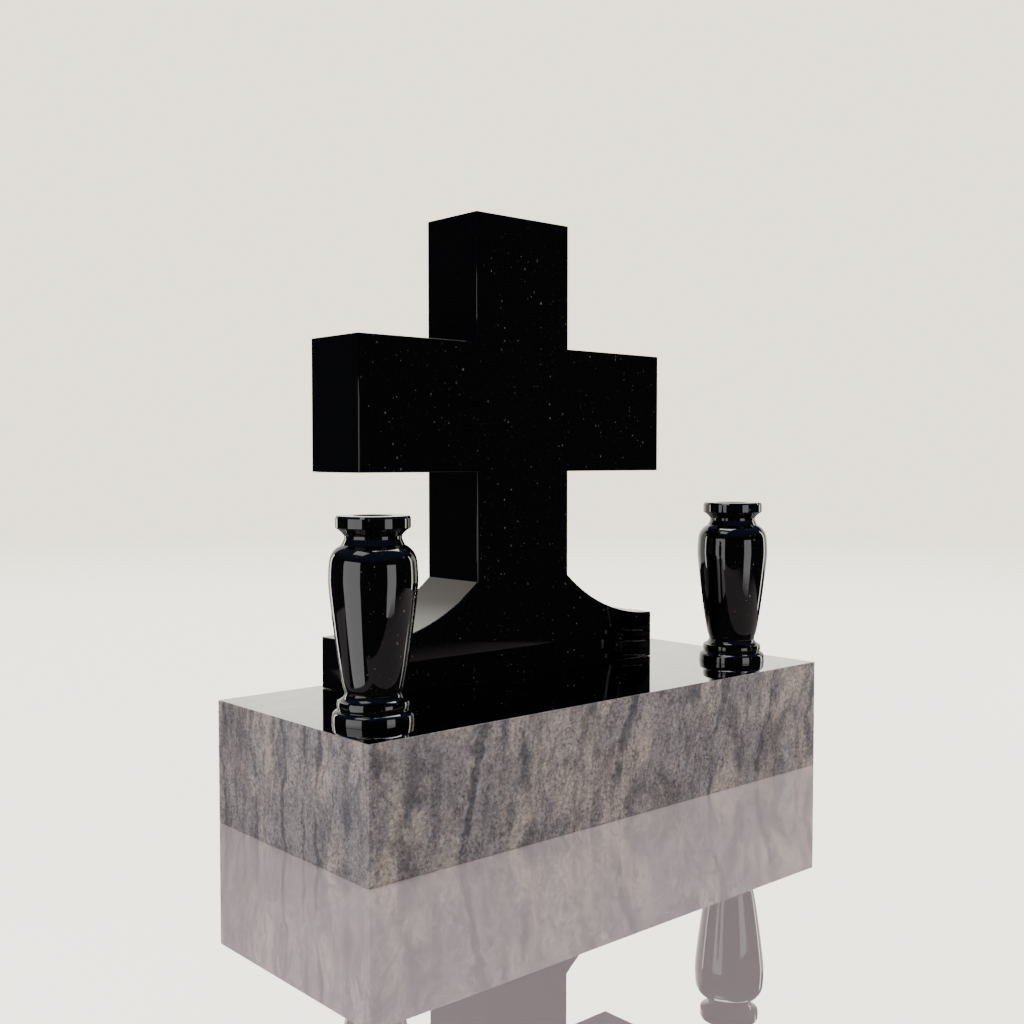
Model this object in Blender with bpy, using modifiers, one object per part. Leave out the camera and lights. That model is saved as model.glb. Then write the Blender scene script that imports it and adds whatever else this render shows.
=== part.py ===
"""Latin cross headstone: an upright cross with a coved foot and two turned vases
on a rectangular base. Metres, +Z up. The origin is the centre of the base's underside,
+X runs along the base and the front of the cross faces -Y."""

import math

import bmesh
import bpy
from mathutils.geometry import interpolate_bezier

# Base slab
BASE_LENGTH = 1.040
BASE_DEPTH = 0.4215
BASE_HEIGHT = 0.200
BASE_ARRIS = 0.0015

# Cross, heights measured from the top of the base
CROSS_HEIGHT = 0.814
CROSS_THICKNESS = 0.1375
CROSS_BACK_MARGIN = 0.0253
UPRIGHT_WIDTH = 0.218
ARM_SPAN = 0.7105
ARM_UNDERSIDE = 0.3665
ARM_DEPTH = 0.2235
FOOT_WIDTH = 0.676
FOOT_HEIGHT = 0.088
COVE_RISE = 0.0875
CROSS_ARRIS = 0.0015
COVE_STEPS = 16
ARRIS_ANGLE = math.radians(35)

# Vases, each axis measured in from the end and the front edge of the base
VASE_END_MARGIN = 0.0972
VASE_FRONT_MARGIN = 0.1247
VASE_HEIGHT = 0.3055
BORE_RADIUS = 0.0305
BORE_FLOOR = 0.100
RIM_RADIUS = 0.0560
RIM_BAND = 0.0188
RIM_CHAMFER_RUN = 0.0022
RIM_CHAMFER_DROP = 0.0036
RIM_ARRIS = 0.0012
RIM_COVE = 0.0108
RIM_COVE_SAG = 0.06
NECK_WALL = 0.0124
NECK_BAND = 0.0045
SPLAY_RUN = 0.0041
SPLAY_DROP = 0.0090
SHOULDER_ROUND = 0.0240
SHOULDER_BULGE = 0.128
SHOULDER_DROP = 0.0545
BODY_RADIUS = 0.0667
BODY_SWELL = 0.0016
BODY_FULLNESS = 0.10
WAIST_PINCH = 0.26
WAIST_TURN = 0.04
WAIST_RADIUS = 0.0430
WAIST_BAND = 0.0046
WAIST_STEP = 0.0005
COLLAR_COVE = 0.0100
COLLAR_COVE_SAG = 0.14
COLLAR_RADIUS = 0.0548
COLLAR_BAND = 0.0128
QUIRK_DEPTH = 0.0010
QUIRK_HEIGHT = 0.0010
FOOT_ROUND = 0.0057
FOOT_BULGE = 0.10
FOOT_BAND = 0.0120
FOOT_RADIUS = 0.0621
FOOT_TAPER = 0.0009
FOOT_SKIRT = 0.0050
MOULDING_STEPS = 4
SHOULDER_STEPS = 5
SWELL_STEPS = 3
BODY_STEPS = 12
VASE_SIDES = 36
VASE_CREASE = math.radians(28)

# Bedding gap under everything that stands on the base
SEAT_GAP = 0.0003


def clear_scene():
    for obj in list(bpy.data.objects):
        bpy.data.objects.remove(obj, do_unlink=True)


def make_collection(name):
    collection = bpy.data.collections.new(name)
    bpy.context.scene.collection.children.link(collection)
    return collection


def make_material(name, colour, roughness):
    material = bpy.data.materials.new(name)
    material.use_nodes = True
    shader = material.node_tree.nodes["Principled BSDF"]
    shader.inputs["Base Color"].default_value = (*colour, 1.0)
    shader.inputs["Roughness"].default_value = roughness
    shader.inputs["Metallic"].default_value = 0.0
    return material


def arc(start, end, bulge, steps):
    """Points after start up to end on a circular arc whose rise is bulge times the chord,
    to the left of the way from start to end."""
    chord = math.dist(start, end)
    rise = bulge * chord
    radius = (chord * chord / 4 + rise * rise) / (2 * rise)
    half_angle = math.asin(chord / 2 / abs(radius))
    along = ((end[0] - start[0]) / chord, (end[1] - start[1]) / chord)
    left = (-along[1], along[0])
    points = []
    for step in range(1, steps + 1):
        angle = half_angle * (2 * step / steps - 1)
        x = chord / 2 + abs(radius) * math.sin(angle)
        y = math.copysign(abs(radius) * math.cos(angle) - (abs(radius) - abs(rise)), rise)
        point = (start[0] + along[0] * x + left[0] * y, start[1] + along[1] * x + left[1] * y)
        points.append(point)
    return points


def baked(obj, collection, name, material):
    """A mesh object made from what the modifiers or the curve of obj give; obj is removed."""
    bpy.context.view_layer.update()
    evaluated = obj.evaluated_get(bpy.context.evaluated_depsgraph_get())
    mesh = bpy.data.meshes.new_from_object(evaluated)
    mesh.name = name
    solid = bpy.data.objects.new(name, mesh)
    solid.matrix_world = obj.matrix_world.copy()
    collection.objects.link(solid)
    bpy.data.objects.remove(obj, do_unlink=True)
    work = bmesh.new()
    work.from_mesh(mesh)
    bmesh.ops.remove_doubles(work, verts=work.verts, dist=1e-5)
    bmesh.ops.recalc_face_normals(work, faces=work.faces)
    work.to_mesh(mesh)
    work.free()
    mesh.materials.clear()
    mesh.materials.append(material)
    return solid


def add_arris(obj, width, convex_only):
    """A narrow flat along the sharp edges; convex_only leaves the inner corners sharp."""
    bevel = obj.modifiers.new("arris", "BEVEL")
    bevel.width = width
    bevel.segments = 1
    if not convex_only:
        bevel.limit_method = "ANGLE"
        return
    bevel.limit_method = "WEIGHT"
    work = bmesh.new()
    work.from_mesh(obj.data)
    weight = work.edges.layers.float.new("bevel_weight_edge")
    for edge in work.edges:
        edge[weight] = 1.0 if edge.calc_face_angle_signed(0) > ARRIS_ANGLE else 0.0
    work.to_mesh(obj.data)
    work.free()


def make_base(collection, material):
    mesh = bpy.data.meshes.new("base")
    work = bmesh.new()
    bmesh.ops.create_cube(work, size=1.0)
    bmesh.ops.scale(work, vec=(BASE_LENGTH, BASE_DEPTH, BASE_HEIGHT), verts=work.verts)
    work.to_mesh(mesh)
    work.free()
    mesh.materials.append(material)
    base = bpy.data.objects.new("base", mesh)
    base.location = (0, 0, BASE_HEIGHT / 2)
    collection.objects.link(base)
    add_arris(base, BASE_ARRIS, convex_only=False)
    return base


def cove_points():
    """The hollow curve from the side of the upright down to the outer edge of the foot,
    level where it ends."""
    run = (FOOT_WIDTH - UPRIGHT_WIDTH) / 2
    radius = (run * run + COVE_RISE * COVE_RISE) / (2 * COVE_RISE)
    sweep = 2 * math.atan2(COVE_RISE, run)
    points = []
    for step in range(COVE_STEPS + 1):
        angle = sweep * (1 - step / COVE_STEPS)
        x = FOOT_WIDTH / 2 - radius * math.sin(angle)
        points.append((x, FOOT_HEIGHT + radius * (1 - math.cos(angle))))
    return points


def cross_outline():
    """Right half of the front outline, from the top down, then its mirror image."""
    upright = UPRIGHT_WIDTH / 2
    arm = ARM_SPAN / 2
    right = [
        (upright, CROSS_HEIGHT),
        (upright, ARM_UNDERSIDE + ARM_DEPTH),
        (arm, ARM_UNDERSIDE + ARM_DEPTH),
        (arm, ARM_UNDERSIDE),
        (upright, ARM_UNDERSIDE),
    ]
    right += cove_points()
    right.append((FOOT_WIDTH / 2, 0.0))
    return right + [(-x, z) for x, z in reversed(right)]


def make_cross(collection, material):
    outline = bpy.data.curves.new("cross_outline", "CURVE")
    outline.dimensions = "2D"
    outline.fill_mode = "BOTH"
    outline.extrude = CROSS_THICKNESS / 2
    points = cross_outline()
    spline = outline.splines.new("POLY")
    spline.points.add(len(points) - 1)
    for point, (x, z) in zip(spline.points, points):
        point.co = (x, z, 0.0, 1.0)
    spline.use_cyclic_u = True
    curve = bpy.data.objects.new("cross_outline", outline)
    middle_y = BASE_DEPTH / 2 - CROSS_BACK_MARGIN - CROSS_THICKNESS / 2
    curve.location = (0, middle_y, BASE_HEIGHT + SEAT_GAP)
    curve.rotation_euler = (math.radians(90), 0, 0)
    collection.objects.link(curve)
    cross = baked(curve, collection, "cross", material)
    add_arris(cross, CROSS_ARRIS, convex_only=True)
    return cross


def body_points(top, bottom):
    """The long taper of a vase from its widest point down to its waist."""
    height = top[1] - bottom[1]
    start = (*top, 0)
    pinch = WAIST_PINCH * (top[0] - bottom[0])
    start_handle = (top[0], top[1] - BODY_FULLNESS * height, 0)
    end_handle = (bottom[0] + pinch, bottom[1] + WAIST_TURN * height, 0)
    end = (*bottom, 0)
    curve = interpolate_bezier(start, start_handle, end_handle, end, BODY_STEPS)
    return [(point.x, point.y) for point in curve[1:]]


def vase_profile():
    """Radius and height of the vase's section, from the bore's floor up the bore,
    over the rim and down the outside to the middle of the foot."""
    neck_radius = BORE_RADIUS + NECK_WALL
    rim_bottom = VASE_HEIGHT - RIM_BAND
    neck_top = rim_bottom - RIM_COVE
    neck_bottom = neck_top - NECK_BAND
    shoulder_top = neck_bottom - SPLAY_DROP
    shoulder_bottom = shoulder_top - SHOULDER_ROUND
    widest = shoulder_top - SHOULDER_DROP
    swell_angle = math.atan2(BODY_SWELL, shoulder_bottom - widest)
    swell_bulge = math.tan(swell_angle / 2) / 2
    foot_top = FOOT_BAND + FOOT_ROUND
    collar_bottom = foot_top + QUIRK_HEIGHT
    collar_top = collar_bottom + COLLAR_BAND
    waist_bottom = collar_top + COLLAR_COVE
    waist_top = waist_bottom + WAIST_BAND
    quirk_radius = COLLAR_RADIUS - QUIRK_DEPTH

    points = [(0.0, BORE_FLOOR), (BORE_RADIUS, BORE_FLOOR), (BORE_RADIUS, VASE_HEIGHT)]
    points.append((RIM_RADIUS - RIM_CHAMFER_RUN, VASE_HEIGHT))
    points.append((RIM_RADIUS, VASE_HEIGHT - RIM_CHAMFER_DROP))
    points += [(RIM_RADIUS, rim_bottom + RIM_ARRIS), (RIM_RADIUS - RIM_ARRIS, rim_bottom)]
    points += arc(points[-1], (neck_radius, neck_top), -RIM_COVE_SAG, MOULDING_STEPS)
    points += [(neck_radius, neck_bottom), (neck_radius + SPLAY_RUN, shoulder_top)]
    shoulder_end = (BODY_RADIUS - BODY_SWELL, shoulder_bottom)
    points += arc(points[-1], shoulder_end, SHOULDER_BULGE, SHOULDER_STEPS)
    points += arc(points[-1], (BODY_RADIUS, widest), swell_bulge, SWELL_STEPS)
    points += body_points(points[-1], (WAIST_RADIUS + WAIST_STEP, waist_top))
    points.append((WAIST_RADIUS, waist_bottom))
    points += arc(points[-1], (quirk_radius, collar_top), -COLLAR_COVE_SAG, MOULDING_STEPS)
    collar_bulge = QUIRK_DEPTH / COLLAR_BAND
    points += arc(points[-1], (quirk_radius, collar_bottom), collar_bulge, MOULDING_STEPS)
    points.append((quirk_radius, foot_top))
    points += arc(points[-1], (FOOT_RADIUS - FOOT_TAPER, FOOT_BAND), FOOT_BULGE, MOULDING_STEPS)
    points += [(FOOT_RADIUS, FOOT_SKIRT), (FOOT_RADIUS, 0.0), (0.0, 0.0)]
    return points


def make_vase_solid(collection, name, material):
    work = bmesh.new()
    verts = [work.verts.new((radius, 0.0, height)) for radius, height in vase_profile()]
    for upper, lower in zip(verts, verts[1:]):
        work.edges.new((upper, lower))
    mesh = bpy.data.meshes.new("vase_profile")
    work.to_mesh(mesh)
    work.free()
    turned = bpy.data.objects.new("vase_profile", mesh)
    collection.objects.link(turned)
    screw = turned.modifiers.new("turn", "SCREW")
    screw.steps = VASE_SIDES
    screw.render_steps = VASE_SIDES
    screw.use_merge_vertices = True
    screw.merge_threshold = 0.0001
    vase = baked(turned, collection, name, material)
    vase.data.shade_smooth()
    vase.data.set_sharp_from_angle(angle=VASE_CREASE)
    return vase


def make_vases(collection, material):
    x = BASE_LENGTH / 2 - VASE_END_MARGIN
    y = -BASE_DEPTH / 2 + VASE_FRONT_MARGIN
    left = make_vase_solid(collection, "vase_left", material)
    right = bpy.data.objects.new("vase_right", left.data)
    collection.objects.link(right)
    left.location = (-x, y, BASE_HEIGHT + SEAT_GAP)
    right.location = (x, y, BASE_HEIGHT + SEAT_GAP)
    return [left, right]


def main():
    clear_scene()
    collection = make_collection("latin_cross_headstone")
    veined_granite = make_material("veined_granite", (0.30, 0.27, 0.26), 0.45)
    black_granite = make_material("black_granite", (0.006, 0.006, 0.007), 0.04)
    parts = [make_base(collection, veined_granite), make_cross(collection, black_granite)]
    parts += make_vases(collection, black_granite)
    monument = bpy.data.objects.new("headstone", None)
    collection.objects.link(monument)
    for part in parts:
        part.parent = monument


main()
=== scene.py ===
import bpy
import bmesh
import math
from mathutils import Matrix, Vector
from mathutils.geometry import interpolate_bezier


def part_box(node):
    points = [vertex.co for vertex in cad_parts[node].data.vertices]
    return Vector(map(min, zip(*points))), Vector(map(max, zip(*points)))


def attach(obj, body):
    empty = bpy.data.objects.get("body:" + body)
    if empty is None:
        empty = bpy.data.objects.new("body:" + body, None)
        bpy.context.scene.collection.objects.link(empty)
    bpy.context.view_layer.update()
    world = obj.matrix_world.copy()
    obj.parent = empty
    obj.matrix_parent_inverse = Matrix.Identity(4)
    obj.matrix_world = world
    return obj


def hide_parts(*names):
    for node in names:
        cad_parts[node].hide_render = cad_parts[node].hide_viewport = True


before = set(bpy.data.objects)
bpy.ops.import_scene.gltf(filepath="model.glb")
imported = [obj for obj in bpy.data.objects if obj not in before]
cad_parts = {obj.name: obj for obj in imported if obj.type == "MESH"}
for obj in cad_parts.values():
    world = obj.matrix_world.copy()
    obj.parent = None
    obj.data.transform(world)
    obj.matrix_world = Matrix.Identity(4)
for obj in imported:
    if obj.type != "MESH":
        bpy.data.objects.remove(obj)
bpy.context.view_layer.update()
print("frame: packed model loaded")


# shared helpers for node trees

def addNode(tree, kind, inputs=None, **settings):
    node = tree.nodes.new("ShaderNode" + kind)
    for key, value in settings.items():
        setattr(node, key, value)
    for key, value in (inputs or {}).items():
        plug(tree, node.inputs[key], value)
    return node


def plug(tree, socket, value):
    if isinstance(value, bpy.types.NodeSocket):
        tree.links.new(value, socket)
    else:
        socket.default_value = value


def calc(tree, operation, *values, clamp=False):
    node = addNode(tree, "Math", operation=operation, use_clamp=clamp)
    for index, value in enumerate(values):
        plug(tree, node.inputs[index], value)
    return node.outputs[0]


def calcVector(tree, operation, *values):
    node = addNode(tree, "VectorMath", operation=operation)
    for index, value in enumerate(values):
        plug(tree, node.inputs[index], value)
    return node.outputs[0]


def product(tree, first, second):
    return calc(tree, "MULTIPLY", first, second)


def remap(tree, value, low, high, newLow=0.0, newHigh=1.0, smooth=True):
    style = "SMOOTHSTEP" if smooth else "LINEAR"
    inputs = {0: value, 1: low, 2: high, 3: newLow, 4: newHigh}
    return addNode(tree, "MapRange", inputs, interpolation_type=style).outputs[0]


def spread(tree, value, newLow, newHigh):
    return remap(tree, value, 0.0, 1.0, newLow, newHigh, smooth=False)


def mixColour(tree, factor, first, second, blend="MIX"):
    node = addNode(tree, "Mix", data_type="RGBA", blend_type=blend)
    plug(tree, node.inputs[0], factor)
    plug(tree, node.inputs[6], first)
    plug(tree, node.inputs[7], second)
    return node.outputs[2]


def noise(tree, vector, scale, detail=2.0, roughness=0.5):
    inputs = {"Vector": vector, "Scale": scale, "Detail": detail, "Roughness": roughness}
    return addNode(tree, "TexNoise", inputs)


def centred(tree, place, scale, detail, roughness, amount):
    colour = noise(tree, place, scale, detail, roughness).outputs["Color"]
    wobble = calcVector(tree, "SUBTRACT", colour, (0.5, 0.5, 0.5))
    return addNode(tree, "VectorMath", {0: wobble, "Scale": amount}, operation="SCALE").outputs[0]


def newGroup(name, inputs, outputs):
    group = bpy.data.node_groups.new(name, "ShaderNodeTree")
    for label, kind, value in inputs:
        kindName = "NodeSocket" + kind
        socket = group.interface.new_socket(name=label, in_out="INPUT", socket_type=kindName)
        if value is not None:
            socket.default_value = value
    for label, kind in outputs:
        group.interface.new_socket(name=label, in_out="OUTPUT", socket_type="NodeSocket" + kind)
    start = group.nodes.new("NodeGroupInput")
    end = group.nodes.new("NodeGroupOutput")
    return group, start, end


def useGroup(tree, group, inputs):
    node = tree.nodes.new("ShaderNodeGroup")
    node.node_tree = group
    for key, value in inputs.items():
        plug(tree, node.inputs[key], value)
    return node


def newMaterial(name):
    material = bpy.data.materials.new(name)
    material.use_nodes = True
    tree = material.node_tree
    tree.nodes.clear()
    output = addNode(tree, "OutputMaterial")
    shader = addNode(tree, "BsdfPrincipled")
    tree.links.new(shader.outputs[0], output.inputs[0])
    place = addNode(tree, "TexCoord").outputs["Object"]
    return material, tree, shader, place


# stone patterns

fleckSettings = {
    "squash": (1.0, 1.0, 0.80),
    "wobble": (260.0, 1.0, 0.5, 0.0022),    # scale, detail, roughness and amount
    "reach": (0.45, 1.30),
    "edge": (0.0, 0.45),
    "strength": (0.25, 1.0),
    "contrast": 1.8,
    "tints": 7.0,
}


def makeFleckGroup():
    s = fleckSettings
    inputs = [("Vector", "Vector", None), ("Scale", "Float", 140.0), ("Share", "Float", 0.2), ("Size", "Float", 0.18)]
    group, start, end = newGroup("stoneFlecks", inputs, [("Mask", "Float"), ("Tint", "Float")])
    squashed = calcVector(group, "MULTIPLY", start.outputs["Vector"], s["squash"])
    shifted = calcVector(group, "ADD", squashed, centred(group, squashed, *s["wobble"]))
    cellInputs = {"Vector": shifted, "Scale": start.outputs["Scale"], "Randomness": 1.0}
    cells = addNode(group, "TexVoronoi", cellInputs, feature="F1")
    pick, size, power = addNode(group, "SeparateColor", {0: cells.outputs["Color"]}).outputs
    chosen = calc(group, "LESS_THAN", pick, start.outputs["Share"])
    reach = product(group, start.outputs["Size"], spread(group, size, *s["reach"]))
    near = calc(group, "SUBTRACT", 1.0, calc(group, "DIVIDE", cells.outputs["Distance"], reach), clamp=True)
    glint = remap(group, near, *s["edge"])
    strength = calc(group, "POWER", spread(group, power, *s["strength"]), s["contrast"])
    mask = product(group, product(group, glint, chosen), strength)
    tint = calc(group, "FRACT", product(group, size, s["tints"]))
    group.links.new(mask, end.inputs["Mask"])
    group.links.new(tint, end.inputs["Tint"])
    return group


veinSettings = {
    # where the veins cross the front's slanted coordinate, in metres, with half width and strength
    "span": (-0.80, 0.80),
    "bold": [
        (-0.735, 0.011, 0.65), (-0.690, 0.010, 0.60), (-0.633, 0.014, 0.70), (-0.520, 0.013, 0.90),
        (-0.462, 0.011, 0.80), (-0.418, 0.012, 0.95), (-0.252, 0.026, 0.50), (-0.098, 0.018, 0.95),
        (0.232, 0.020, 0.80), (0.625, 0.011, 0.85),
    ],
    "faint": [
        (-0.552, 0.020, 0.80), (-0.496, 0.012, 0.70), (-0.328, 0.032, 0.80), (-0.205, 0.026, 0.95),
        (0.025, 0.036, 0.90), (0.125, 0.024, 0.75), (0.390, 0.042, 0.80), (0.483, 0.017, 0.95),
        (0.562, 0.014, 0.90), (0.768, 0.012, 0.90),
    ],
    "slant": 1.2,
    "lean": 0.26,
    "leanSpan": (-0.50, -0.38),
    "leanPivot": 0.1,
    "drift": 0.8,
    "tall": (1.0, 1.0, 0.62),
    "flat": (1.0, 1.0, 1.6),
    "micaSquash": (1.0, 1.0, 0.92),
    "feldsparShift": (3.0, 5.0, 1.0),
    # bends of the sheets: scale, detail, roughness and amount
    "broadBend": (3.4, 2.0, 0.5, 0.070),
    "fineBends": [(17.0, 3.0, 0.6, 0.034), (75.0, 3.0, 0.6, 0.012)],
    "grainBlur": (170.0, 2.0, 0.5, 0.006),
    "sway": 0.035,
    # noises at a point: scale, detail and roughness
    "noises": {
        "sway": (9.0, 2.0, 0.5),
        "fade": (6.5, 2.0, 0.5),
        "broken": (13.0, 2.0, 0.5),
        "worn": (60.0, 4.0, 0.7),
        "cluster": (30.0, 3.0, 0.6),
        "mica": (225.0, 3.0, 0.62),
        "feldspar": (165.0, 3.0, 0.66),
    },
    # noises along the sheets: scales across, along and up, shift, detail and roughness
    "sheets": {
        "thread": ((30.0, 9.0, 9.5), 4.0, 2.0, 0.55),
        "present": ((6.0, 5.0, 5.0), 9.0, 2.0, 0.5),
        "patch": ((11.0, 5.0, 6.0), 0.0, 4.0, 0.62),
        "smoke": ((34.0, 22.0, 15.0), 2.0, 5.0, 0.68),
        "light": ((48.0, 30.0, 24.0), 7.0, 4.0, 0.7),
        "brown": ((9.0, 5.0, 6.0), 31.0, 3.0, 0.5),
    },
    # how each noise becomes a mask: from, to, and where given the new from and to
    "ranges": {
        "fade": (0.34, 0.54, 0.42, 1.0),
        "broken": (0.40, 0.60, 0.10, 1.0),
        "worn": (0.36, 0.62, 0.0, 0.36),
        "bold": (-0.02, 0.55),
        "faint": (-0.05, 0.55),
        "thread": (0.026, 0.006),
        "present": (0.40, 0.62),
        "threadSide": (-0.30, 0.35, 0.45, 1.0),
        "patch": (0.42, 0.58),
        "smoke": (0.46, 0.62),
        "light": (0.55, 0.72),
        "brown": (0.55, 0.68),
        "cluster": (0.38, 0.66, 0.0, 0.085),
        "mica": (0.575, 0.690, 0.0, 0.58),
        "feldspar": (0.36, 0.64, 0.70, 1.26),
    },
    "patchDrift": 0.07,
    "veinMica": 0.075,
    "grainScale": 560.0,
    "grainTone": (0.80, 1.18),
    "layers": [
        ("brown", 0.42, "brown"),
        ("smoke", 0.58, "blueGrey"),
        ("light", 0.34, "pale"),
        ("faint", 0.66, "blueGrey"),
        ("thread", 0.74, "blueGrey"),
        ("bold", 0.86, "blueGrey"),
    ],
    "colours": {
        "beige": (0.555, 0.482, 0.418, 1),
        "lilac": (0.345, 0.320, 0.320, 1),
        "blueGrey": (0.105, 0.109, 0.126, 1),
        "brown": (0.180, 0.140, 0.135, 1),
        "black": (0.050, 0.050, 0.060, 1),
        "pale": (0.640, 0.645, 0.660, 1),
    },
}


def veinRamp(tree, spot, veins, span):
    low, high = span
    node = addNode(tree, "ValToRGB", {0: spot})
    ramp = node.color_ramp
    stops = []
    for place, halfWidth, strength in veins:
        stops += [(place - halfWidth, 0.0), (place, strength), (place + halfWidth, 0.0)]
    while len(ramp.elements) < len(stops):
        ramp.elements.new(1.0)
    for element, (place, strength) in zip(ramp.elements, sorted(stops)):
        element.position = (place - low) / (high - low)
        element.color = (strength, strength, strength, 1.0)
    ramp.interpolation = "EASE"
    return node.outputs[0]


def makeVeinedGroup():
    s = veinSettings
    ranges, colours = s["ranges"], s["colours"]
    outputs = [("Colour", "Color"), ("Grain", "Float")]
    group, start, end = newGroup("veinedStone", [("Vector", "Vector", None)], outputs)
    place = start.outputs["Vector"]
    tall = calcVector(group, "MULTIPLY", place, s["tall"])

    # the banding is a set of bent sheets, so one slanted coordinate carries it through every face
    bent = calcVector(group, "ADD", place, centred(group, place, *s["broadBend"]))
    for bend in s["fineBends"]:
        bent = calcVector(group, "ADD", bent, centred(group, tall, *bend))
    bentX, bentY, bentZ = addNode(group, "SeparateXYZ", {0: bent}).outputs
    plainX = addNode(group, "SeparateXYZ", {0: place}).outputs[0]
    lean = remap(group, plainX, *s["leanSpan"], 0.0, s["lean"])
    tilt = product(group, lean, calc(group, "SUBTRACT", bentZ, s["leanPivot"]))
    across = calc(group, "SUBTRACT", bentX, product(group, bentY, s["slant"]))
    across = calc(group, "SUBTRACT", across, tilt)
    along = calc(group, "ADD", bentY, product(group, bentX, s["drift"]))

    def pointNoise(name, spot):
        return noise(group, spot, *s["noises"][name]).outputs[0]

    def sheetNoise(name):
        scales, shift, detail, roughness = s["sheets"][name]
        spot = addNode(group, "CombineXYZ")
        plug(group, spot.inputs[0], calc(group, "MULTIPLY_ADD", across, scales[0], shift))
        plug(group, spot.inputs[1], product(group, along, scales[1]))
        plug(group, spot.inputs[2], product(group, bentZ, scales[2]))
        return noise(group, spot.outputs[0], 1.0, detail, roughness).outputs[0]

    # main veins at their places, eaten away and smudged so that they come and go
    spot = remap(group, across, *s["span"], smooth=False)
    sway = product(group, calc(group, "SUBTRACT", pointNoise("sway", place), 0.5), s["sway"])
    boldShape = veinRamp(group, spot, s["bold"], s["span"])
    faintShape = veinRamp(group, calc(group, "ADD", spot, sway), s["faint"], s["span"])
    fade = remap(group, pointNoise("fade", calcVector(group, "MULTIPLY", place, s["flat"])), *ranges["fade"])
    broken = remap(group, pointNoise("broken", place), *ranges["broken"])
    worn = remap(group, pointNoise("worn", tall), *ranges["worn"], smooth=False)
    masks = {}
    masks["bold"] = remap(group, calc(group, "SUBTRACT", product(group, boldShape, fade), worn), *ranges["bold"])
    masks["faint"] = remap(group, calc(group, "SUBTRACT", product(group, faintShape, broken), worn), *ranges["faint"])

    # fine branching threads, denser towards the right end
    ridge = calc(group, "ABSOLUTE", calc(group, "SUBTRACT", sheetNoise("thread"), 0.5))
    present = remap(group, sheetNoise("present"), *ranges["present"])
    present = product(group, present, remap(group, plainX, *ranges["threadSide"]))
    masks["thread"] = product(group, remap(group, ridge, *ranges["thread"]), present)

    # cloudy ground, from broad patches down to mottling
    for name in ("smoke", "light", "brown"):
        masks[name] = remap(group, sheetNoise(name), *ranges[name])
    patch = calc(group, "MULTIPLY_ADD", plainX, s["patchDrift"], sheetNoise("patch"))
    colour = mixColour(group, remap(group, patch, *ranges["patch"]), colours["lilac"], colours["beige"])
    for name, amount, tint in s["layers"]:
        colour = mixColour(group, product(group, masks[name], amount), colour, colours[tint])

    # grains: blotches of feldspar and dark mica, with more mica in the veins and in clusters
    blur = calcVector(group, "ADD", place, centred(group, place, *s["grainBlur"]))
    grains = addNode(group, "TexVoronoi", {"Vector": blur, "Scale": s["grainScale"]}, feature="F1")
    grainTone, grainHeight = addNode(group, "SeparateColor", {0: grains.outputs["Color"]}).outputs[:2]
    cluster = remap(group, pointNoise("cluster", tall), *ranges["cluster"])
    cluster = calc(group, "MAXIMUM", cluster, product(group, masks["bold"], s["veinMica"]))
    mica = pointNoise("mica", calcVector(group, "MULTIPLY", blur, s["micaSquash"]))
    dark = remap(group, calc(group, "ADD", mica, cluster), *ranges["mica"])
    feldspar = pointNoise("feldspar", calcVector(group, "ADD", blur, s["feldsparShift"]))
    shade = remap(group, feldspar, *ranges["feldspar"], smooth=False)
    tone = product(group, shade, spread(group, grainTone, *s["grainTone"]))
    toneColour = addNode(group, "CombineColor", {0: tone, 1: tone, 2: tone}).outputs[0]
    colour = mixColour(group, 1.0, colour, toneColour, "MULTIPLY")
    colour = mixColour(group, dark, colour, colours["black"])

    group.links.new(colour, end.inputs["Colour"])
    group.links.new(grainHeight, end.inputs["Grain"])
    return group


fleckGroup = makeFleckGroup()
veinedGroup = makeVeinedGroup()

blackStone = {
    "body": (0.0022, 0.0023, 0.0027, 1),
    "silver": (0.25, 0.24, 0.23, 1),
    "bronze": (0.20, 0.15, 0.12, 1),
    "ground": [(0.020, 0.020, 0.022, 1), (0.075, 0.074, 0.076, 1)],
    "bigFlecks": {"Scale": 128.0, "Share": 0.26, "Size": 0.25},
    "smallFlecks": {"Scale": 320.0, "Share": 0.20, "Size": 0.27},
    "smallStrength": 0.40,
    "smallTint": 0.55,
    "bronzeFrom": (0.66, 0.92),
    "fleckSideShade": (0.30, 0.85, 0.06, 1.0),    # painted shade: flecks fade out on faces turned away from front and back, so the brightly lit end faces show none
    "hazeNoise": (14.0, 4.0, 0.6),    # scale, detail and roughness
    "haze": (0.35, 0.70, 0.018, 0.045),
    "ior": 1.50,
    "groundNoise": (420.0, 3.0, 0.7),
    "drilled": (0.3, 0.7, 0.42, 0.62),
    "drilledBump": {"Strength": 0.35, "Distance": 0.0004},
    "toolMarks": 900.0,
}


def fleckedColour(tree, place, body):
    s = blackStone
    big = useGroup(tree, fleckGroup, {"Vector": place, **s["bigFlecks"]})
    small = useGroup(tree, fleckGroup, {"Vector": place, **s["smallFlecks"]})
    tint = mixColour(tree, remap(tree, big.outputs["Tint"], *s["bronzeFrom"]), s["silver"], s["bronze"])
    dim = mixColour(tree, s["smallTint"], s["bronze"], s["silver"])
    # painted shade: fleck strength follows which way the face turns, dimming them on the end faces that the left
    # panel lights
    normal = addNode(tree, "SeparateXYZ", {0: addNode(tree, "NewGeometry").outputs["Normal"]}).outputs[1]
    fleckSideShade = remap(tree, calc(tree, "ABSOLUTE", normal), *s["fleckSideShade"])
    smallMask = product(tree, product(tree, small.outputs["Mask"], s["smallStrength"]), fleckSideShade)
    colour = mixColour(tree, smallMask, body, dim)
    return mixColour(tree, product(tree, big.outputs["Mask"], fleckSideShade), colour, tint)


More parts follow.
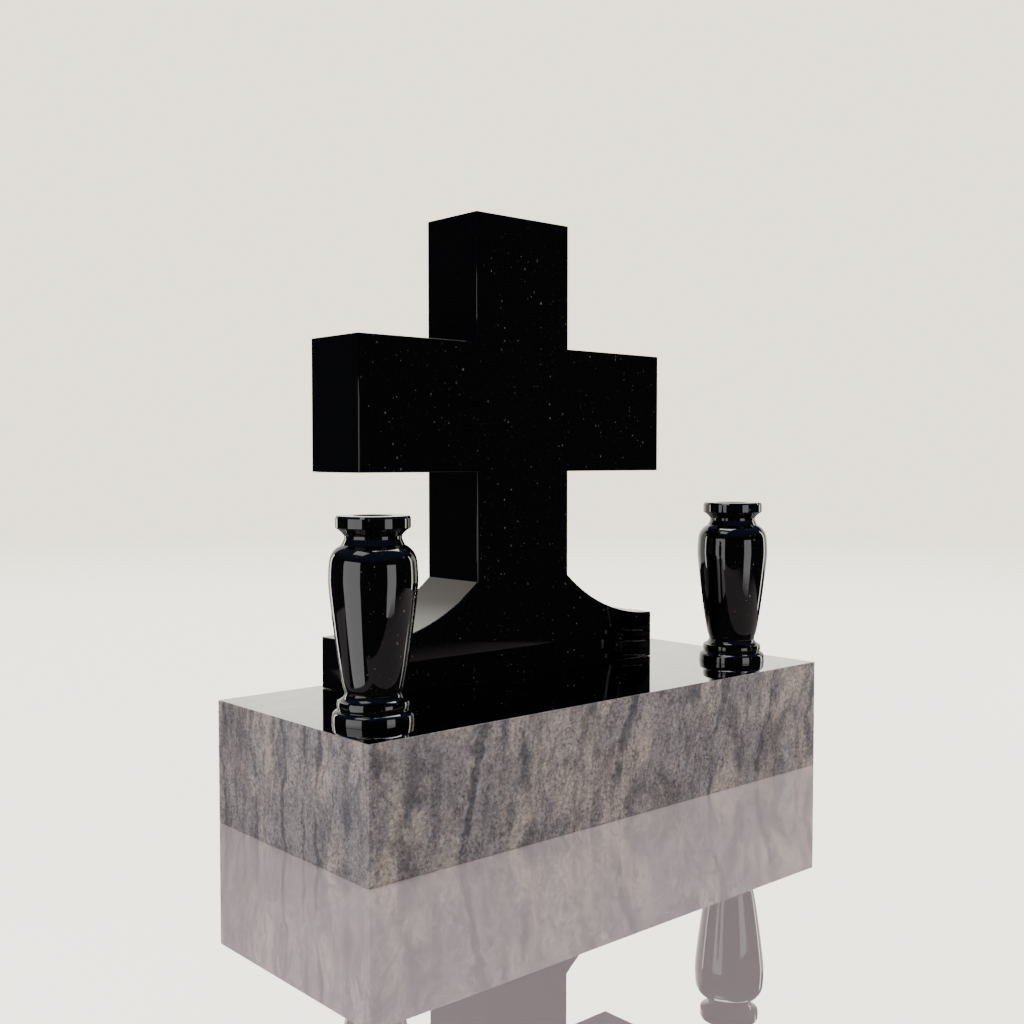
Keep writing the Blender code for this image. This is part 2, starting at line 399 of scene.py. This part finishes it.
def makePolishedBlack():
    s = blackStone
    material, tree, shader, place = newMaterial("polished black granite")
    plug(tree, shader.inputs["Base Color"], fleckedColour(tree, place, s["body"]))
    haze = noise(tree, place, *s["hazeNoise"]).outputs[0]
    plug(tree, shader.inputs["Roughness"], remap(tree, haze, *s["haze"]))
    shader.inputs["IOR"].default_value = s["ior"]
    return material


def makeDrilledBlack():
    s = blackStone
    material, tree, shader, place = newMaterial("drilled black granite")
    height = product(tree, addNode(tree, "SeparateXYZ", {0: place}).outputs[2], s["toolMarks"])
    turned = noise(tree, addNode(tree, "CombineXYZ", {2: height}).outputs[0], 1.0).outputs[0]
    ground = mixColour(tree, noise(tree, place, *s["groundNoise"]).outputs[0], *s["ground"])
    plug(tree, shader.inputs["Base Color"], fleckedColour(tree, place, ground))
    plug(tree, shader.inputs["Roughness"], remap(tree, turned, *s["drilled"]))
    bump = addNode(tree, "Bump", {"Height": turned, **s["drilledBump"]})
    plug(tree, shader.inputs["Normal"], bump.outputs[0])
    return material


veinedFinish = {
    "honedRoughness": (0.38, 0.60),
    "honedBump": {"Strength": 0.12, "Distance": 0.0004},
    "polishedRoughness": (0.012, 0.030),
    # the polished top is the stone darkened: partly the deeper tone of polish, partly painted shade that keeps the
    # top dark under the overhead light
    "polishToneAndShade": (0.42, 0.42, 0.44, 1),
    "mirrorFrom": (0.60, 0.77),    # the polished top turns into a mirror towards the horizon
    "coat": {"Coat Weight": 1.0, "Coat Roughness": 0.01, "Coat IOR": 1.6},
}


def makeHonedVeined():
    s = veinedFinish
    material, tree, shader, place = newMaterial("honed veined granite")
    stone = useGroup(tree, veinedGroup, {"Vector": place})
    grain = stone.outputs["Grain"]
    plug(tree, shader.inputs["Base Color"], stone.outputs["Colour"])
    plug(tree, shader.inputs["Roughness"], spread(tree, grain, *s["honedRoughness"]))
    bump = addNode(tree, "Bump", {"Height": grain, **s["honedBump"]})
    plug(tree, shader.inputs["Normal"], bump.outputs[0])
    return material


def makePolishedVeined():
    s = veinedFinish
    material, tree, shader, place = newMaterial("polished veined granite")
    stone = useGroup(tree, veinedGroup, {"Vector": place})
    # partly painted shade: the stone's colour darkened for the polished top
    toneAndShadeColour = mixColour(tree, 1.0, stone.outputs["Colour"], s["polishToneAndShade"], "MULTIPLY")
    plug(tree, shader.inputs["Base Color"], toneAndShadeColour)
    plug(tree, shader.inputs["Roughness"], spread(tree, stone.outputs["Grain"], *s["polishedRoughness"]))
    facing = addNode(tree, "LayerWeight", {"Blend": 0.5}).outputs["Facing"]
    plug(tree, shader.inputs["Metallic"], remap(tree, facing, *s["mirrorFrom"]))
    for label, value in s["coat"].items():
        shader.inputs[label].default_value = value
    return material


materials = {
    "polishedBlack": makePolishedBlack(),
    "drilledBlack": makeDrilledBlack(),
    "honedVeined": makeHonedVeined(),
    "polishedVeined": makePolishedVeined(),
}
print("materials: black and veined granite mixed")


# mesh helpers

def linkMesh(bm, name, meshMaterials):
    mesh = bpy.data.meshes.new(name)
    bm.to_mesh(mesh)
    bm.free()
    for material in meshMaterials:
        mesh.materials.append(material)
    made = bpy.data.objects.new(name, mesh)
    bpy.context.scene.collection.objects.link(made)
    return made


def toObject(bm, name, stones, node):
    piece = linkMesh(bm, name, [materials[stone] for stone in stones])
    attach(piece, "root")
    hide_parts(node)
    return piece


def bevelArris(bm, edges, width, segments):
    result = bmesh.ops.bevel(
        bm, geom=edges, affect="EDGES", offset=width, offset_type="OFFSET", segments=segments,
        profile=0.5, material=-1, clamp_overlap=False,
    )
    return result["faces"]


def shadePanels(bm, rounded):
    for face in bm.faces:
        face.smooth = True
    for edge in bm.edges:
        sides = [face in rounded for face in edge.link_faces]
        if len(sides) == 2 and sides[0] != sides[1]:
            edge.smooth = False


# base slab

baseSettings = {
    "arris": 0.0015,
    "arrisSteps": 3,
    "topFrom": 0.99,    # faces whose normal points up at least this much are polished
}


def makeBase():
    s = baseSettings
    low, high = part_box("base")
    bm = bmesh.new()
    bmesh.ops.create_cube(bm, size=1.0)
    bmesh.ops.scale(bm, vec=high - low, verts=bm.verts)
    bmesh.ops.translate(bm, vec=(low + high) / 2, verts=bm.verts)
    rounded = set(bevelArris(bm, bm.edges[:], s["arris"], s["arrisSteps"]))
    for face in bm.faces:
        face.material_index = 1 if face.normal.z > s["topFrom"] and face not in rounded else 0
    shadePanels(bm, rounded)
    return toObject(bm, "baseSlab", ["honedVeined", "polishedVeined"], "base")


makeBase()
print("base: slab with small arrises, honed sides and polished top")


# cross

crossSettings = {
    "uprightWidth": 0.218,
    "armUnderside": 0.3665,
    "armDepth": 0.2235,
    "footWidth": 0.676,
    "footHeight": 0.088,
    "coveRise": 0.0875,
    "coveSteps": 48,
    "arris": 0.0015,
    "arrisSteps": 3,
    "arrisAngle": 20.0,
    "creaseAngle": 25.0,
    "mirrorMerge": 0.0001,
    "doubles": 0.00005,
}


def makeCross():
    s = crossSettings
    low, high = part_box("cross")
    foot = s["footWidth"] / 2
    arm = (high.x - low.x) / 2
    half = s["uprightWidth"] / 2
    run = foot - half
    coveRadius = (run ** 2 + s["coveRise"] ** 2) / (2 * s["coveRise"])
    coveAngle = math.asin(run / coveRadius)
    footTop = low.z + s["footHeight"]
    coveTop = footTop + s["coveRise"]
    underside = low.z + s["armUnderside"]
    armTop = underside + s["armDepth"]

    bm = bmesh.new()
    corners = [
        (0, high.z), (half, high.z), (half, armTop), (arm, armTop),
        (arm, underside), (half, underside), (half, coveTop),
    ]
    chain = [bm.verts.new((x, low.y, z)) for x, z in corners]
    footCorner = bm.verts.new((foot, low.y, footTop))
    spun = bmesh.ops.spin(
        bm, geom=[footCorner], cent=(foot, low.y, footTop + coveRadius), axis=(0, 1, 0),
        dvec=(0, 0, 0), angle=coveAngle, steps=s["coveSteps"], use_merge=False,
    )
    tip = spun["geom_last"][0]
    bmesh.ops.pointmerge(bm, verts=[tip, chain[-1]], merge_co=chain[-1].co)
    tail = [footCorner, bm.verts.new((foot, low.y, low.z)), bm.verts.new((0, low.y, low.z))]
    chain = [v for v in chain if v.is_valid]
    for first, second in list(zip(chain, chain[1:])) + list(zip(tail, tail[1:])):
        bm.edges.new((first, second))
    halfOutline, plane = bm.verts[:] + bm.edges[:], Matrix.Identity(4)
    bmesh.ops.mirror(bm, geom=halfOutline, matrix=plane, merge_dist=s["mirrorMerge"], axis="X")
    bmesh.ops.remove_doubles(bm, verts=bm.verts, dist=s["doubles"])
    front = bmesh.ops.contextual_create(bm, geom=bm.edges[:])["faces"]
    grown = bmesh.ops.extrude_face_region(bm, geom=front)
    moved = [item for item in grown["geom"] if isinstance(item, bmesh.types.BMVert)]
    bmesh.ops.translate(bm, vec=(0, high.y - low.y, 0), verts=moved)
    bmesh.ops.recalc_face_normals(bm, faces=bm.faces)
    arrisAngle, creaseAngle = math.radians(s["arrisAngle"]), math.radians(s["creaseAngle"])
    sharp = [edge for edge in bm.edges if edge.calc_face_angle_signed(0) > arrisAngle]
    rounded = set(bevelArris(bm, sharp, s["arris"], s["arrisSteps"]))
    shadePanels(bm, rounded)
    for edge in bm.edges:
        flat = len(edge.link_faces) == 2 and not rounded.intersection(edge.link_faces)
        if flat and edge.calc_face_angle(0) > creaseAngle:
            edge.smooth = False
    return toObject(bm, "cross", ["polishedBlack"], "cross")


makeCross()
print("cross: coved foot, arms and arrises")


# vases

vaseSettings = {
    "height": 0.3055,
    "boreRadius": 0.0305,
    "boreFloor": 0.100,
    "rimRadius": 0.0560,
    "rimBand": 0.0188,
    "rimChamferRun": 0.0022,
    "rimChamferDrop": 0.0036,
    "rimArris": 0.0012,
    "rimCove": 0.0108,
    "rimCoveSag": 0.06,
    "neckWall": 0.0124,
    "neckBand": 0.0045,
    "splayRun": 0.0041,
    "splayDrop": 0.0090,
    "shoulderRound": 0.0240,
    "shoulderBulge": 0.128,
    "shoulderDrop": 0.0545,
    "bodyRadius": 0.0667,
    "bodySwell": 0.0016,
    "bodySteps": 24,
    "bodyFullness": 0.10,
    "waistPinch": 0.26,
    "waistTurn": 0.04,
    "waistRadius": 0.0430,
    "waistBand": 0.0046,
    "waistStep": 0.0005,
    "collarCove": 0.0100,
    "collarCoveSag": 0.14,
    "collarRadius": 0.0548,
    "collarBand": 0.0128,
    "quirkDepth": 0.0010,
    "quirkHeight": 0.0010,
    "footRound": 0.0057,
    "footBulge": 0.10,
    "footBand": 0.0120,
    "footRadius": 0.0621,
    "footTaper": 0.0009,
    "footSkirt": 0.0050,
    "arcSteps": 8,
    "turns": 128,
    "creaseAngle": 24.0,
    "doubles": 0.00002,
    "boreSlack": (0.0002, 0.001),    # around and below the bore, in picking its faces
}


def arcPoints(start, end, bulge, steps):
    chord = Vector(end) - Vector(start)
    middle = (Vector(start) + Vector(end)) / 2
    side = Vector((-chord.y, chord.x))
    rise = bulge * chord.length
    radius = (chord.length / 2) ** 2 / (2 * abs(rise)) + abs(rise) / 2
    centre = middle - side.normalized() * math.copysign(radius - abs(rise), rise)
    first = Vector(start) - centre
    turn = first.angle_signed(Vector(end) - centre)
    points = []
    for step in range(1, steps + 1):
        angle = -turn * step / steps
        spoke = Matrix.Rotation(angle, 2) @ first
        points.append(tuple(centre + spoke))
    return points


def vaseProfile(s):
    steps = s["arcSteps"]
    neck = s["boreRadius"] + s["neckWall"]
    rimBottom = s["height"] - s["rimBand"]
    neckTop = rimBottom - s["rimCove"]
    neckBottom = neckTop - s["neckBand"]
    shoulderTop = neckBottom - s["splayDrop"]
    shoulderBottom = shoulderTop - s["shoulderRound"]
    widest = shoulderTop - s["shoulderDrop"]
    swellAngle = math.atan2(s["bodySwell"], shoulderBottom - widest)
    footTop = s["footBand"] + s["footRound"]
    collarBottom = footTop + s["quirkHeight"]
    collarTop = collarBottom + s["collarBand"]
    waistBottom = collarTop + s["collarCove"]
    waistTop = waistBottom + s["waistBand"]
    quirk = s["collarRadius"] - s["quirkDepth"]
    bodyHeight = widest - waistTop
    waist = s["waistRadius"] + s["waistStep"]
    rim, arris = s["rimRadius"], s["rimArris"]

    wall = [(0, s["boreFloor"]), (s["boreRadius"], s["boreFloor"]), (s["boreRadius"], s["height"])]
    mouth = [(rim - s["rimChamferRun"], s["height"]), (rim, s["height"] - s["rimChamferDrop"])]
    mouth += [(rim, rimBottom + arris), (rim - arris, rimBottom)]
    mouth += arcPoints(mouth[-1], (neck, neckTop), -s["rimCoveSag"], steps)
    mouth += [(neck, neckBottom), (neck + s["splayRun"], shoulderTop)]
    body = arcPoints(mouth[-1], (s["bodyRadius"] - s["bodySwell"], shoulderBottom), s["shoulderBulge"], steps)
    body += arcPoints(body[-1], (s["bodyRadius"], widest), math.tan(swellAngle / 2) / 2, steps)
    handleTop = (s["bodyRadius"], widest - s["bodyFullness"] * bodyHeight)
    handleBottom = (waist + s["waistPinch"] * (s["bodyRadius"] - waist), waistTop + s["waistTurn"] * bodyHeight)
    knots = [Vector((*point, 0)) for point in (body[-1], handleTop, handleBottom, (waist, waistTop))]
    body += [(point.x, point.y) for point in interpolate_bezier(*knots, s["bodySteps"] + 1)[1:]]
    foot = [(s["waistRadius"], waistBottom)]
    foot += arcPoints(foot[-1], (quirk, collarTop), -s["collarCoveSag"], steps)
    foot += arcPoints(foot[-1], (quirk, collarBottom), s["quirkDepth"] / s["collarBand"], steps)
    foot += [(quirk, footTop)]
    foot += arcPoints(foot[-1], (s["footRadius"] - s["footTaper"], s["footBand"]), s["footBulge"], steps)
    foot += [(s["footRadius"], s["footSkirt"]), (s["footRadius"], 0), (0, 0)]
    return wall + mouth + body + foot


def makeVase(node, name):
    s = vaseSettings
    low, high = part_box(node)
    middle = Vector(((low.x + high.x) / 2, (low.y + high.y) / 2, low.z))
    bm = bmesh.new()
    rail = [bm.verts.new((radius, 0, height)) for radius, height in vaseProfile(s)]
    for first, second in zip(rail, rail[1:]):
        bm.edges.new((first, second))
    bmesh.ops.spin(
        bm, geom=bm.verts[:] + bm.edges[:], cent=(0, 0, 0), axis=(0, 0, 1), dvec=(0, 0, 0),
        angle=2 * math.pi, steps=s["turns"], use_merge=True,
    )
    bmesh.ops.remove_doubles(bm, verts=bm.verts, dist=s["doubles"])
    bmesh.ops.recalc_face_normals(bm, faces=bm.faces)
    around, below = s["boreSlack"]
    for face in bm.faces:
        face.smooth = True
        reach = max(math.hypot(v.co.x, v.co.y) for v in face.verts)
        inBore = reach < s["boreRadius"] + around and face.calc_center_median().z > s["boreFloor"] - below
        face.material_index = 1 if inBore else 0
    for edge in bm.edges:
        if len(edge.link_faces) == 2 and edge.calc_face_angle(0) > math.radians(s["creaseAngle"]):
            edge.smooth = False
    bmesh.ops.translate(bm, vec=middle, verts=bm.verts)
    return toObject(bm, name, ["polishedBlack", "drilledBlack"], node)


makeVase("vase_left", "vaseLeft")
makeVase("vase_right", "vaseRight")
print("vases: two turned vases with drilled bores")


# studio

cameraSettings = {
    "place": (-1.4781, -1.5824, 0.5879),
    "turn": (87.5715, 0.0, -41.636),
    "lens": 43.313,
}

studioSettings = {
    "floorSize": 14.0,
    "floorCells": 8,
    "floorHeight": -0.0002,
    "floorColour": (0.70, 0.612, 0.624, 1),
    "floorGlow": 0.14,
    "floorSeen": (0.56, 0.465, 0.478, 1),
    "floorMirror": (0.84, 0.83, 0.82, 1),
    "floorFade": (2.5, 8.0),
    "floorReach": (1.68, 1.73),
    "frontReach": (-0.95, -1.48),
    "cornerCut": (-1.45, -1.49),
    "mirrorRadius": 0.058,    # from a vase's axis to where it mirrors a panel
    "wedgeStart": 0.03,
    "wedgeEdge": (0.01, -0.01),
    "backdrop": (2.50, 2.32, 1.78, 1),
    "mirrored": (3.70, 3.55, 3.15, 1),
    "ambient": (0.25, 0.245, 0.25, 1),
    "ceiling": (0.07, 0.11, 0.23, 1),
    "ceilingFrom": (0.30, 0.75),
    "dark": (0.022, 0.024, 0.030, 1),
}

panelSettings = {
    "left": {
        "ends": ((-1.86, 0.60), (-1.94, -0.69)),
        "low": -1.00,
        "top": 0.95,
        "radiance": 3.2,
        "colour": (1.0, 0.98, 0.98),
    },
    "right": {
        "ends": ((1.27, -3.87), (-0.39, -3.87)),
        "low": -1.00,
        "top": 1.00,
        "radiance": 3.2,
        "colour": (1.0, 0.98, 0.99),
    },
}

# the floor that a vase mirrors ends at these distances towards a panel
openings = [
    ("vase_left", "left", 0.54),
    ("vase_right", "left", 1.23),
    ("vase_left", "right", 1.05),
    ("vase_right", "right", 1.12),
]

stripSettings = {
    "rearLeft": {
        "ends": ((-0.66, 1.58), (-0.49, 1.66)),
        "low": -0.8,
        "top": 0.95,
        "radiance": 8.0,
        "colour": (1.0, 0.975, 0.90),
    },
    "rearRight": {
        "ends": ((2.98, -0.78), (2.98, -0.50)),
        "low": -1.2,
        "top": 1.8,
        "radiance": 8.0,
        "colour": (1.0, 0.975, 0.90),
    },
}

overheadSettings = {
    "overhead": {"place": (1.10, 0.60, 3.90), "size": (3.4, 2.2), "radiance": 11.0, "colour": (1, 1, 1)},
    "overheadLeft": {"place": (-2.15, 0.20, 3.90), "size": (1.5, 1.9), "radiance": 4.0, "colour": (1, 1, 1)},
}

sweepSettings = {
    "path": [
        (-0.48, 1.72), (-0.32, 1.83), (0.35, 2.25), (1.35, 2.35),
        (2.25, 1.85), (2.90, 0.85), (3.04, -0.65),
    ],
    "tops": [1.25, 1.95, 2.10, 2.10, 1.80, 1.45, 1.30],
    "low": 0.0,
    "azimuth": 49.0,
    "brightFrom": (0.82, 0.93),
    "bright": (1.9, 1.84, 1.66, 1),
    "dim": (1.1, 1.06, 0.92, 1),
}


def dotProduct(tree, first, second):
    return addNode(tree, "VectorMath", {0: first, 1: second}, operation="DOT_PRODUCT").outputs["Value"]


def lengthOf(tree, vector):
    return addNode(tree, "VectorMath", {0: vector}, operation="LENGTH").outputs["Value"]


def mixShaders(tree, factor, first, second):
    return addNode(tree, "MixShader", {0: factor, 1: first.outputs[0], 2: second.outputs[0]})


def toOutput(tree, node):
    output = next(other for other in tree.nodes if other.type == "OUTPUT_MATERIAL")
    tree.links.new(node.outputs[0], output.inputs[0])


def towardsPanel(tree, place, node, panel, reach):
    s = studioSettings
    low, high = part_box(node)
    middle = Vector(((low.x + high.x) / 2, (low.y + high.y) / 2, 0))
    ends = [Vector((*end, 0)) for end in panelSettings[panel]["ends"]]
    toCamera = (Vector(cameraSettings["place"]) * Vector((1, 1, 0)) - middle).normalized()
    toPanel = ((ends[0] + ends[1]) / 2 - middle).normalized()
    mirrorPoint = middle + (toCamera + toPanel).normalized() * s["mirrorRadius"]
    first, second = [end - mirrorPoint for end in ends]
    fromVase = calcVector(tree, "SUBTRACT", place, mirrorPoint)
    mask = remap(tree, lengthOf(tree, fromVase), reach, reach + s["wedgeStart"])
    for spoke in (Vector((first.y, -first.x, 0)), Vector((-second.y, second.x, 0))):
        side = dotProduct(tree, fromVase, spoke.normalized())
        mask = product(tree, mask, remap(tree, side, *s["wedgeEdge"]))
    return mask


def makeFloor():
    s = studioSettings
    bm = bmesh.new()
    cells = s["floorCells"]
    bmesh.ops.create_grid(bm, x_segments=cells, y_segments=cells, size=s["floorSize"])
    bmesh.ops.translate(bm, vec=(0, 0, s["floorHeight"]), verts=bm.verts)
    material, tree, shader, place = newMaterial("pale floor")
    shader.inputs["Base Color"].default_value = s["floorColour"]
    shader.inputs["Roughness"].default_value = 1.0
    shader.inputs["Specular IOR Level"].default_value = 0.0
    shader.inputs["Emission Color"].default_value = s["floorColour"]
    shader.inputs["Emission Strength"].default_value = s["floorGlow"]
    path = addNode(tree, "LightPath")
    distance = lengthOf(tree, place)

    # the camera sees a clear reflection in it, and its far side fades into the backdrop
    mirror = addNode(tree, "BsdfGlossy", {"Color": s["floorMirror"], "Roughness": 0.0})
    matt = addNode(tree, "BsdfDiffuse", {"Color": s["floorSeen"]})
    polished = addNode(tree, "AddShader", {0: matt.outputs[0], 1: mirror.outputs[0]})
    backdrop = addNode(tree, "Emission", {"Color": s["backdrop"], "Strength": 1.0})
    faded = mixShaders(tree, remap(tree, distance, *s["floorFade"]), polished, backdrop)
    seen = mixShaders(tree, path.outputs["Is Camera Ray"], shader, faded)

    # in the stones' own reflections the floor ends a little way past the slab, and is open towards the panels
    sides = addNode(tree, "SeparateXYZ", {0: place})
    corner = calc(tree, "ADD", sides.outputs[0], sides.outputs[1])
    outside = remap(tree, distance, *s["floorReach"])
    outside = calc(tree, "MAXIMUM", outside, remap(tree, sides.outputs[1], *s["frontReach"]))
    outside = calc(tree, "MAXIMUM", outside, remap(tree, corner, *s["cornerCut"]))
    for node, panel, reach in openings:
        outside = calc(tree, "MAXIMUM", outside, towardsPanel(tree, place, node, panel, reach))
    clear = addNode(tree, "BsdfTransparent")
    opened = product(tree, outside, path.outputs["Is Glossy Ray"])
    toOutput(tree, mixShaders(tree, opened, seen, clear))
    linkMesh(bm, "floor", [material])


def makeWorld():
    s = studioSettings
    world = bpy.data.worlds.new("studio")
    world.use_nodes = True
    bpy.context.scene.world = world
    tree = world.node_tree
    tree.nodes.clear()
    output = addNode(tree, "OutputWorld")
    direction = addNode(tree, "TexCoord").outputs["Generated"]
    height = addNode(tree, "SeparateXYZ", {0: direction}).outputs[2]
    seen = mixColour(tree, remap(tree, height, *s["ceilingFrom"]), s["dark"], s["ceiling"])
    path = addNode(tree, "LightPath")
    colour = mixColour(tree, path.outputs["Is Glossy Ray"], s["ambient"], seen)
    colour = mixColour(tree, path.outputs["Is Singular Ray"], colour, s["mirrored"])
    colour = mixColour(tree, path.outputs["Is Camera Ray"], colour, s["backdrop"])
    background = addNode(tree, "Background", {"Color": colour, "Strength": 1.0})
    tree.links.new(background.outputs[0], output.inputs[0])


def reflectedGlow(name):
    material, tree, shader, place = newMaterial(name)
    glow = addNode(tree, "Emission", {"Strength": 1.0})
    clear = addNode(tree, "BsdfTransparent")
    hidden = addNode(tree, "LightPath").outputs["Is Singular Ray"]    # left out of the floor's clear mirror
    toOutput(tree, mixShaders(tree, hidden, glow, clear))
    return material, tree, glow, place


def makeSheet(name, nearSide, farSide, material):
    bm = bmesh.new()
    near = [bm.verts.new(point) for point in nearSide]
    far = [bm.verts.new(point) for point in farSide]
    for corners in zip(near, near[1:], far[1:], far):
        bm.faces.new(corners)
    sheet = linkMesh(bm, name, [material])
    sheet.visible_camera = False
    sheet.visible_diffuse = False
    sheet.visible_shadow = False


def makeWall(name, path, low, tops, material):
    foot = [(x, y, low) for x, y in path]
    makeSheet(name, foot, [(x, y, top) for (x, y), top in zip(path, tops)], material)


def plainGlow(name, s):
    material, tree, glow, place = reflectedGlow(name)
    glow.inputs["Color"].default_value = (*[s["radiance"] * part for part in s["colour"]], 1)
    return material


def makeGlowWall(name, s):
    makeWall(name, s["ends"], s["low"], [s["top"], s["top"]], plainGlow(name, s))


def makeSweep():
    s = sweepSettings
    material, tree, glow, place = reflectedGlow("lit paper sweep")
    azimuth = math.radians(s["azimuth"])
    flat = calcVector(tree, "NORMALIZE", calcVector(tree, "MULTIPLY", place, (1.0, 1.0, 0.0)))
    towards = dotProduct(tree, flat, (math.cos(azimuth), math.sin(azimuth), 0))
    colour = mixColour(tree, remap(tree, towards, *s["brightFrom"]), s["dim"], s["bright"])
    plug(tree, glow.inputs["Color"], colour)
    makeWall("sweep", s["path"], s["low"], s["tops"], material)
    for name, strip in stripSettings.items():
        makeGlowWall(name, strip)


fillSettings = {
    "place": (2.7, -1.7, 1.3),
    "target": (0.3, 0.0, 0.1),
    "size": 1.2,
    "power": 37.0,
    "colour": (1.0, 0.95, 0.92),
}


def linkLight(light, basis):
    lamp = bpy.data.objects.new(light.name, light)
    bpy.context.scene.collection.objects.link(lamp)
    lamp.matrix_world = basis
    lamp.visible_camera = False
    lamp.visible_glossy = False


def makeFill():
    s = fillSettings
    light = bpy.data.lights.new("frontFill", "AREA")
    light.shape = "DISK"
    light.size = s["size"]
    light.energy = s["power"]
    light.color = s["colour"]
    turn = (Vector(s["target"]) - Vector(s["place"])).to_track_quat("-Z", "Y").to_matrix().to_4x4()
    linkLight(light, Matrix.Translation(s["place"]) @ turn)


def standing(first, second, low, top):
    middle = (first + second) / 2 + Vector((0, 0, (low + top) / 2))
    facing = (second - first).normalized().cross(Vector((0, 0, 1)))
    if facing.dot(Vector((-middle.x, -middle.y, 0))) < 0:
        facing = -facing
    side = Vector((0, 0, 1)).cross(-facing)
    basis = Matrix((side, Vector((0, 0, 1)), -facing)).transposed().to_4x4()
    return Matrix.Translation(middle) @ basis


# each panel is a lamp that lights the stones and a glowing sheet that they mirror
def makePanels():
    for side, s in panelSettings.items():
        first, second = [Vector((*end, 0)) for end in s["ends"]]
        light = bpy.data.lights.new(side + "Panel", "AREA")
        light.shape = "RECTANGLE"
        light.size = (second - first).length
        light.size_y = s["top"] - s["low"]
        light.energy = s["radiance"] * math.pi * light.size * light.size_y
        light.color = s["colour"]
        linkLight(light, standing(first, second, s["low"], s["top"]))
        makeGlowWall(side + "Glow", s)
    for name, s in overheadSettings.items():
        x, y, z = s["place"]
        halfX, halfY = s["size"][0] / 2, s["size"][1] / 2
        sides = [[(x - halfX, edge, z), (x + halfX, edge, z)] for edge in (y - halfY, y + halfY)]
        makeSheet(name, *sides, plainGlow(name, s))


def makeCamera():
    s = cameraSettings
    data = bpy.data.cameras.new("camera")
    data.lens = s["lens"]
    data.sensor_width = 36.0
    camera = bpy.data.objects.new("camera", data)
    camera.location = s["place"]
    camera.rotation_euler = [math.radians(angle) for angle in s["turn"]]
    bpy.context.scene.collection.objects.link(camera)
    bpy.context.scene.camera = camera


makeFloor()
makeWorld()
makeSweep()
makeFill()
makePanels()
makeCamera()
print("studio: floor, light and camera set")

bpy.context.view_layer.update()
